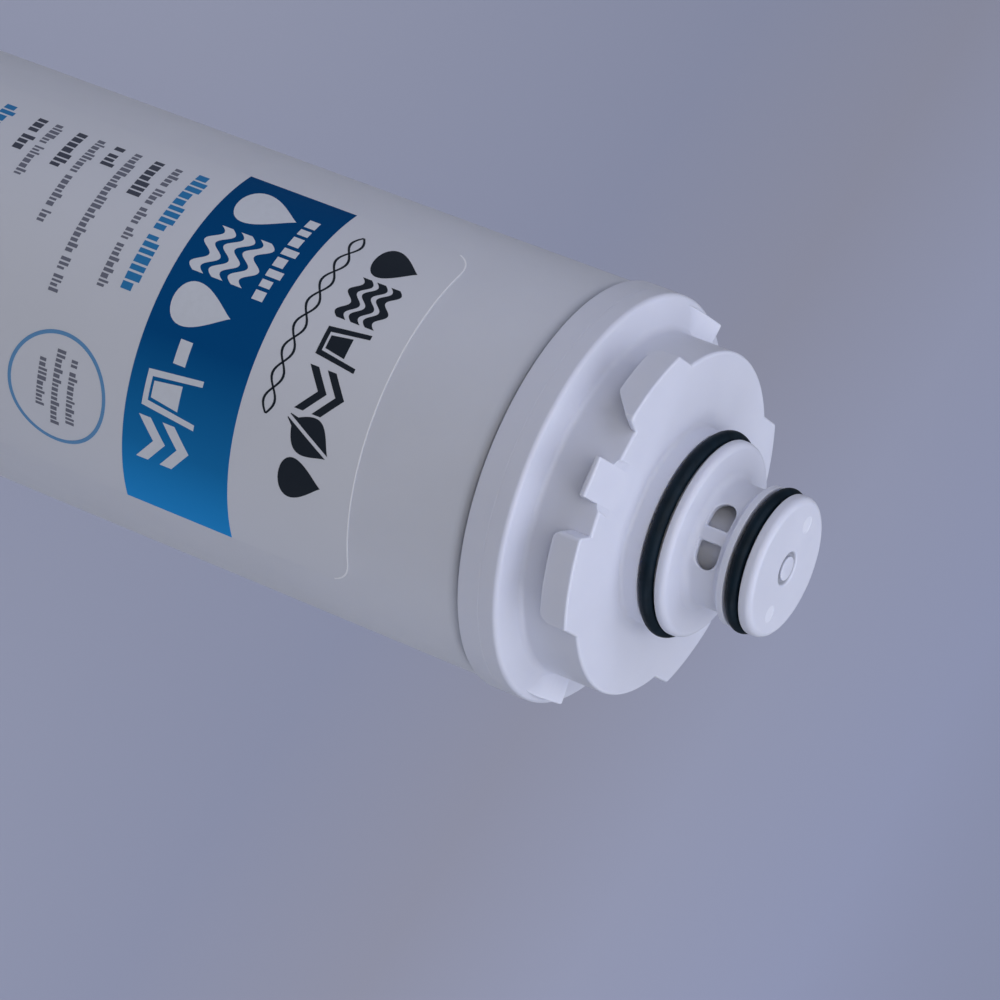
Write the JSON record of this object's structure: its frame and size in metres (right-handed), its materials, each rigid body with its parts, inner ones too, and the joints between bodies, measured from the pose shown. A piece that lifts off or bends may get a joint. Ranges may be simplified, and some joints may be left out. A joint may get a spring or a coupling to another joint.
{
  "type": "water filter cartridge",
  "caption": "White bayonet-lock water filter cartridge: a tall closed cylindrical housing with a lugged head, a stepped spigot with rubber seals and a carbon block element inside.",
  "frame": {"origin": "centre of the foot ring at the closed end, on the axis of the housing", "axes": "+Z along the axis from the closed end to the tip of the spigot; the key block of the head and the middle of the label face -Y; +X is to the right of someone who looks at the label with the spigot up"},
  "size_m": [0.0778, 0.0778, 0.29],
  "materials": {
    "housing_plastic": "satin",
    "head_plastic": "satin",
    "label_film": "satin",
    "seal_rubber": "satin",
    "cap_plastic": "matte",
    "core_plastic": "matte",
    "carbon": "matte",
    "fleece": "matte",
    "netting": "satin",
    "glue": "matte"
  },
  "bodies": {
    "root": {"housing_sump": "housing_plastic", "head_cap": "head_plastic", "label": "label_film", "spigot_seal_large": "seal_rubber", "spigot_seal_small": "seal_rubber", "bottom_end_cap": "cap_plastic", "bottom_glue_ring": "glue", "core_tube": "core_plastic", "core_fleece": "fleece", "carbon_block": "carbon", "prefilter_wrap": "fleece", "netting_sleeve": "netting", "top_glue_ring": "glue", "top_end_cap": "cap_plastic", "nozzle_seal_lower": "seal_rubber", "nozzle_seal_upper": "seal_rubber"}
  },
  "joints": []
}
